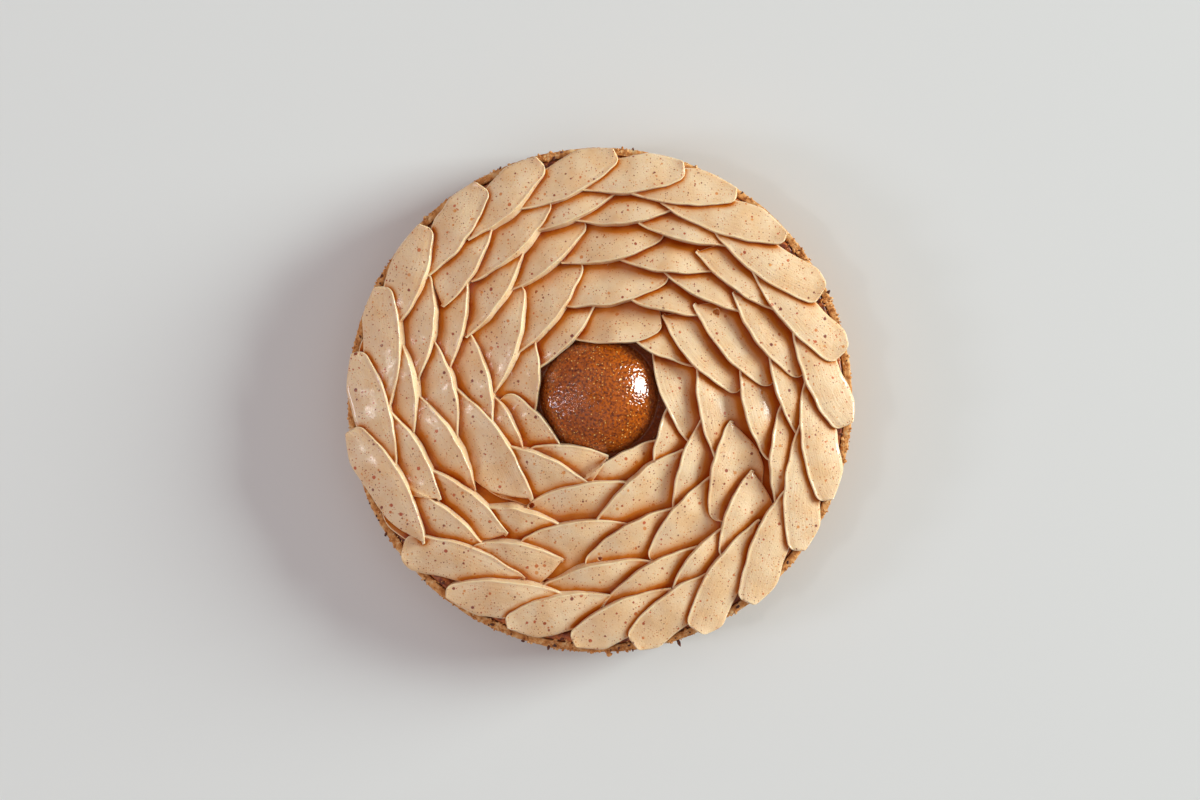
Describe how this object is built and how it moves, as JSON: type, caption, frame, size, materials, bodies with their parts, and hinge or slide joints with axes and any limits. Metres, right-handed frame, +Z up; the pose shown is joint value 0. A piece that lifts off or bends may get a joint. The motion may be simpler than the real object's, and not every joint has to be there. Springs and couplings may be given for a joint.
{
  "type": "hazelnut tart",
  "caption": "Round hazelnut tart: a crumbly shortcrust shell, overlapping petals of piped hazelnut cream in rings and a glossy praline dome in the middle.",
  "frame": {"origin": "centre of the flat base of the shell", "axes": "+Z up out of the tart, +X to the right and +Y to the top of the picture, which looks straight down"},
  "size_m": [0.181, 0.181, 0.031],
  "materials": {
    "crust": "dry, crumbly shortcrust",
    "filling": "moist baked filling",
    "cream": "satin hazelnut cream with dark specks",
    "praline": "wet, grainy praline paste"
  },
  "bodies": {
    "root": {"crust": "crust", "filling": "filling", "cream": "cream", "praline": "praline"}
  },
  "joints": []
}
